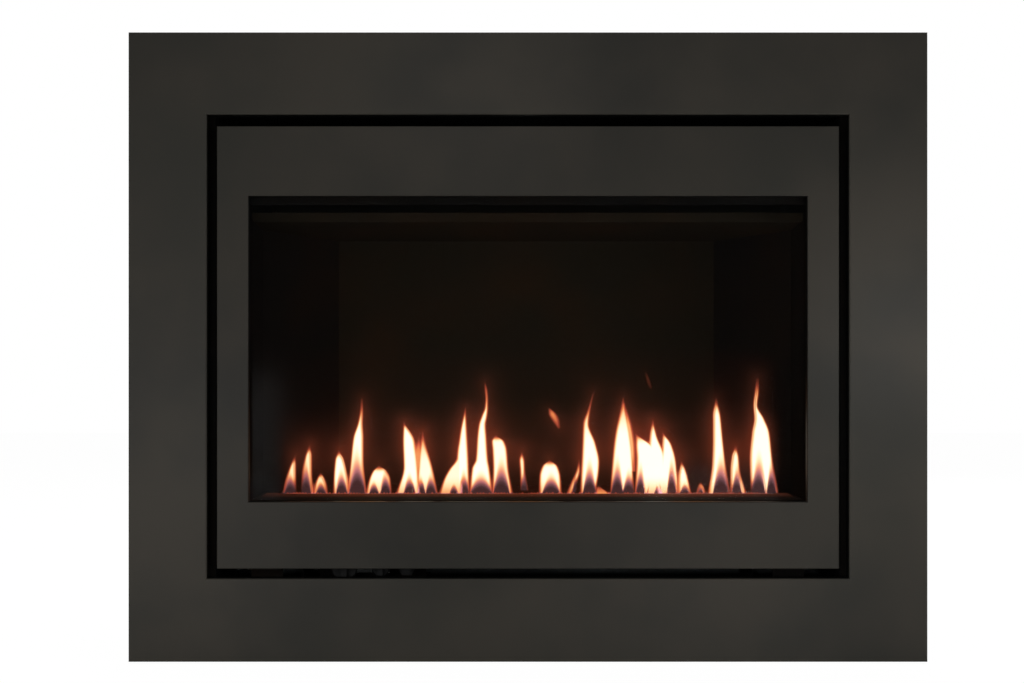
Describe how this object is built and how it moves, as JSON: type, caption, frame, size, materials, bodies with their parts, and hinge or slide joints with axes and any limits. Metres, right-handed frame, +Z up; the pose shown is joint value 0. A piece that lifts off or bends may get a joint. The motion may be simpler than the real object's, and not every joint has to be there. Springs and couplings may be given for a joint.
{
  "type": "fireplace insert",
  "caption": "Gas fireplace insert: glass-fronted firebox with a ribbon burner in a wall casing, with a removable inner fascia, a shadow gap and a wide flat surround.",
  "frame": {"origin": "middle of the underside of the casing, in the plane of the finished wall", "axes": "+X along the fire to the right of someone facing it, +Y into the wall, +Z up"},
  "size_m": [1, 0.355, 0.788],
  "materials": {
    "trim_paint": "satin heat-resistant paint, dark gunmetal with a faint warm cloudiness",
    "zinc_steel": "zinc-coated sheet steel",
    "magnet": "nickel-plated block magnets on steel posts",
    "stove_paint": "matte black stove paint",
    "liner_paint": "matte black stove paint, browned by heat",
    "burner_steel": "stainless sheet, blued and browned near the flames",
    "brass": "turned brass",
    "copper": "drawn copper tube",
    "cast_alloy": "die-cast alloy",
    "black_plastic": "matte black heat-resistant plastic",
    "white_ceramic": "glazed white ceramic round a steel wire",
    "lead_rubber": "silicone-sleeved high-voltage lead",
    "gasket_rope": "flat woven glass-fibre seal",
    "glass": "clear ceramic glass",
    "spigot_steel": "aluminised sheet steel"
  },
  "bodies": {
    "insert": {"air_box": "zinc_steel", "back_panel": "liner_paint", "baffle": "liner_paint", "burner_body": "burner_steel", "burner_crown": "burner_steel", "burner_feet": "burner_steel", "casing_back": "zinc_steel", "casing_top": "zinc_steel", "casing_wrap": "zinc_steel", "clip_studs": "burner_steel", "feed_elbow": "brass", "feed_pipe": "copper", "firebox_back": "stove_paint", "firebox_front": "stove_paint", "firebox_top": "stove_paint", "firebox_wrap": "stove_paint", "fixing_flange": "stove_paint", "flue_inner": "spigot_steel", "flue_outer": "spigot_steel", "flue_restrictor": "burner_steel", "gas_valve": "cast_alloy", "gland_nut": "brass", "glass_frame": "stove_paint", "glass_gasket": "gasket_rope", "glass_pane": "glass", "hearth_plate": "stove_paint", "igniter_barrel": "black_plastic", "ignition_lead": "lead_rubber", "injector": "brass", "inlet_fitting": "brass", "magnet_angles": "stove_paint", "magnet_posts": "magnet", "mixing_tube": "burner_steel", "pilot_burner": "burner_steel", "pilot_pipe": "cast_alloy", "pilot_plate": "burner_steel", "shelf_brackets": "stove_paint", "side_panel_left": "liner_paint", "side_panel_right": "liner_paint", "spark_electrode": "white_ceramic", "supply_pipe": "copper", "support_rails": "zinc_steel", "thermocouple": "copper", "thermocouple_lead": "copper", "valve_bracket": "stove_paint"},
    "surround": {"surround": "trim_paint", "surround_straps": "zinc_steel", "surround_magnets": "magnet"},
    "fascia": {"fascia": "trim_paint"},
    "control_spindle": {"control_spindle": "burner_steel"},
    "control_knob": {"control_knob": "black_plastic"},
    "flame_knob": {"flame_knob": "black_plastic"},
    "igniter_button": {"igniter_button": "black_plastic"},
    "clip_left_low": {"clip_left_low": "burner_steel"},
    "clip_left_high": {"clip_left_high": "burner_steel"},
    "clip_right_low": {"clip_right_low": "burner_steel"},
    "clip_right_high": {"clip_right_high": "burner_steel"}
  },
  "joints": [
    {"name": "surround_pull", "type": "slide", "parent": "insert", "child": "surround", "axis": [0, -1, 0], "range_m": [0, 0.06]},
    {"name": "fascia_pull", "type": "slide", "parent": "insert", "child": "fascia", "axis": [0, -1, 0], "range_m": [0, 0.06]},
    {"name": "control_push", "type": "slide", "parent": "insert", "child": "control_spindle", "axis": [0, 1, 0], "range_m": [0, 0.005], "stiffness_N_per_m": 800, "springref_m": -0.002},
    {"name": "control_turn", "type": "hinge", "parent": "control_spindle", "child": "control_knob", "pos_m": [-0.233, 0.015, 0.028], "axis": [0, -1, 0], "range_deg": [0, 170]},
    {"name": "flame_turn", "type": "hinge", "parent": "insert", "child": "flame_knob", "pos_m": [-0.187, 0.015, 0.028], "axis": [0, -1, 0], "range_deg": [0, 180]},
    {"name": "igniter_press", "type": "slide", "parent": "insert", "child": "igniter_button", "axis": [0, 1, 0], "range_m": [0, 0.005], "stiffness_N_per_m": 500, "springref_m": -0.003},
    {"name": "clip_left_low_turn", "type": "hinge", "parent": "insert", "child": "clip_left_low", "pos_m": [-0.38, -0.0082, 0.16], "axis": [0, 1, 0], "range_deg": [0, 90]},
    {"name": "clip_left_high_turn", "type": "hinge", "parent": "insert", "child": "clip_left_high", "pos_m": [-0.38, -0.0082, 0.451], "axis": [0, 1, 0], "range_deg": [0, 90]},
    {"name": "clip_right_low_turn", "type": "hinge", "parent": "insert", "child": "clip_right_low", "pos_m": [0.38, -0.0082, 0.16], "axis": [0, -1, 0], "range_deg": [0, 90]},
    {"name": "clip_right_high_turn", "type": "hinge", "parent": "insert", "child": "clip_right_high", "pos_m": [0.38, -0.0082, 0.451], "axis": [0, -1, 0], "range_deg": [0, 90]}
  ]
}
